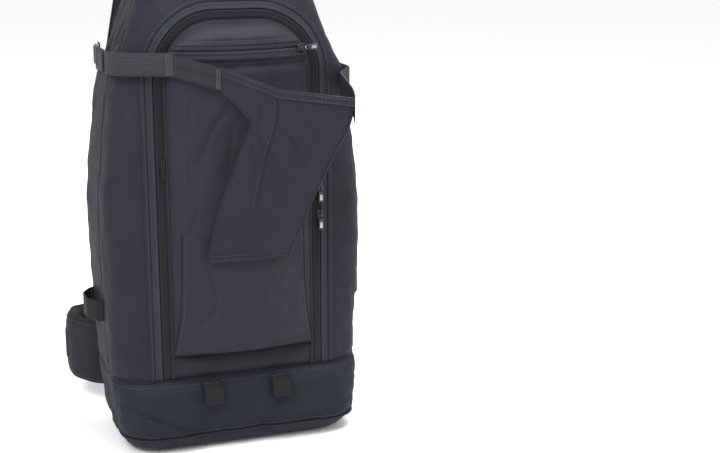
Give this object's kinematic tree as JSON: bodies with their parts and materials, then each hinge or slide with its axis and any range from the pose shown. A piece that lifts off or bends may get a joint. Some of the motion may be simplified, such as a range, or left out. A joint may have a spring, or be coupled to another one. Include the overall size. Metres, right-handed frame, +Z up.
{
  "type": "ski backpack",
  "caption": "Tall ski backpack with a horseshoe-zipped front panel, a winged cloth flap that holds a helmet, and a padded harness with a hip belt.",
  "frame": {"origin": "centre of the flat base the pack stands on", "axes": "+Z up, +X to the right of someone facing the front panel, +Y towards the wearer's back"},
  "size_m": [0.3396, 0.4777, 0.584],
  "materials": {
    "base_fabric": "matte",
    "dark_webbing": "matte",
    "flap_fabric": "matte",
    "foam": "matte",
    "frame_plastic": "matte",
    "hardware": "matte",
    "hook_metal": "satin",
    "lining": "matte",
    "pad_mesh": "matte",
    "panel_fabric": "satin",
    "puller": "satin",
    "shell_fabric": "matte",
    "slider_metal": "satin",
    "stay_metal": "brushed",
    "webbing": "matte",
    "zip_tape": "matte"
  },
  "bodies": {
    "pack": {"back_foam": "foam", "back_pad_left": "pad_mesh", "back_pad_right": "pad_mesh", "base_panel": "base_fabric", "frame_sheet": "frame_plastic", "frame_stays": "stay_metal", "gear_loop_left": "dark_webbing", "gear_loop_right": "dark_webbing", "inner_sleeve": "lining", "load_lifter_left": "webbing", "load_lifter_right": "webbing", "lumbar_pad": "pad_mesh", "main_shell": "shell_fabric", "main_zip_tape_outer": "zip_tape", "shoulder_strap_left": "pad_mesh", "shoulder_strap_right": "pad_mesh", "side_tab_left": "webbing", "side_tab_right": "webbing", "ski_loop_left": "dark_webbing", "ski_loop_right": "dark_webbing", "sternum_rail_left": "hardware", "sternum_rail_right": "hardware", "strap_lock_left": "hardware", "strap_lock_right": "hardware", "strap_webbing_left": "webbing", "strap_webbing_right": "webbing"},
    "front_panel": {"front_panel": "panel_fabric", "front_panel_lining": "lining", "main_zip_tape_inner": "zip_tape", "pocket_zip_tape_upper": "zip_tape", "pocket_zip_tape_lower": "zip_tape"},
    "helmet_flap": {"helmet_flap": "flap_fabric", "flap_arm_left": "flap_fabric", "flap_arm_right": "flap_fabric", "flap_link_left": "dark_webbing", "flap_link_right": "dark_webbing", "flap_webbing_left": "webbing", "flap_webbing_right": "webbing", "flap_hook_left": "hook_metal", "flap_hook_right": "hook_metal"},
    "pocket_slider": {"pocket_slider": "slider_metal"},
    "pocket_puller": {"pocket_puller": "puller"},
    "main_slider_upper": {"main_slider_upper": "slider_metal"},
    "main_puller_upper": {"main_puller_upper": "puller"},
    "main_slider_lower": {"main_slider_lower": "slider_metal"},
    "main_puller_lower": {"main_puller_lower": "puller"},
    "haul_loop": {"haul_loop": "dark_webbing"},
    "hip_wing_left": {"hip_wing_left": "pad_mesh", "hip_webbing_left": "webbing", "hip_buckle_female": "hardware"},
    "hip_wing_right": {"hip_wing_right": "pad_mesh", "hip_webbing_right": "webbing"},
    "hip_buckle_male": {"hip_buckle_male": "hardware"},
    "sternum_left": {"sternum_clip_left": "hardware", "sternum_webbing_left": "webbing", "sternum_buckle_female": "hardware"},
    "sternum_right": {"sternum_clip_right": "hardware", "sternum_webbing_right": "webbing"},
    "sternum_buckle_male": {"sternum_buckle_male": "hardware"}
  },
  "joints": [
    {"name": "front_panel_fold", "type": "hinge", "parent": "pack", "child": "front_panel", "pos_m": [0, -0.081, 0.088], "axis": [1, 0, 0], "range_deg": [0, 80]},
    {"name": "helmet_flap_fold", "type": "hinge", "parent": "front_panel", "child": "helmet_flap", "pos_m": [0, -0.1135, 0.231], "axis": [1, 0, 0], "range_deg": [0, 90]},
    {"name": "pocket_zip_run", "type": "hinge", "parent": "front_panel", "child": "pocket_slider", "pos_m": [0, 0.0661, 0.462], "axis": [0, 0, 1], "range_deg": [-42, 0]},
    {"name": "pocket_puller_swing", "type": "hinge", "parent": "pocket_slider", "child": "pocket_puller", "pos_m": [0.0719, -0.10327, 0.462], "axis": [0, 0, 1], "range_deg": [-150, 0]},
    {"name": "main_zip_run_upper", "type": "slide", "parent": "pack", "child": "main_slider_upper", "axis": [0, 0, 1], "range_m": [0, 0.09]},
    {"name": "main_puller_upper_swing", "type": "hinge", "parent": "main_slider_upper", "child": "main_puller_upper", "pos_m": [0.094, -0.0857, 0.3], "axis": [1, 0, 0], "range_deg": [-150, 0]},
    {"name": "main_zip_run_lower", "type": "slide", "parent": "pack", "child": "main_slider_lower", "axis": [0, 0, 1], "range_m": [-0.14, 0]},
    {"name": "main_puller_lower_swing", "type": "hinge", "parent": "main_slider_lower", "child": "main_puller_lower", "pos_m": [0.094, -0.0857, 0.268], "axis": [1, 0, 0], "range_deg": [-150, 0]},
    {"name": "haul_loop_fold", "type": "hinge", "parent": "pack", "child": "haul_loop", "pos_m": [0, 0.0794, 0.5185], "axis": [1, 0, 0], "range_deg": [-80, 0]},
    {"name": "hip_wing_left_swing", "type": "hinge", "parent": "pack", "child": "hip_wing_left", "pos_m": [-0.094, 0.086, 0.071], "axis": [0, 0, 1], "range_deg": [0, 20]},
    {"name": "hip_wing_right_swing", "type": "hinge", "parent": "pack", "child": "hip_wing_right", "pos_m": [0.094, 0.086, 0.071], "axis": [0, 0, 1], "range_deg": [-20, 0]},
    {"name": "hip_buckle_slide", "type": "slide", "parent": "hip_wing_right", "child": "hip_buckle_male", "axis": [1, 0, 0], "range_m": [-0.025, 0]},
    {"name": "sternum_left_slide", "type": "slide", "parent": "pack", "child": "sternum_left", "axis": [0, 0.1172, 0.9931], "range_m": [-0.024, 0.024]},
    {"name": "sternum_right_slide", "type": "slide", "parent": "pack", "child": "sternum_right", "axis": [0, 0.1172, 0.9931], "range_m": [-0.024, 0.024]},
    {"name": "sternum_buckle_slide", "type": "slide", "parent": "sternum_right", "child": "sternum_buckle_male", "axis": [1, 0, 0], "range_m": [-0.013, 0]}
  ],
  "couplings": [
    {"joint": "sternum_right_slide", "follows": "sternum_left_slide", "ratio": 1}
  ]
}
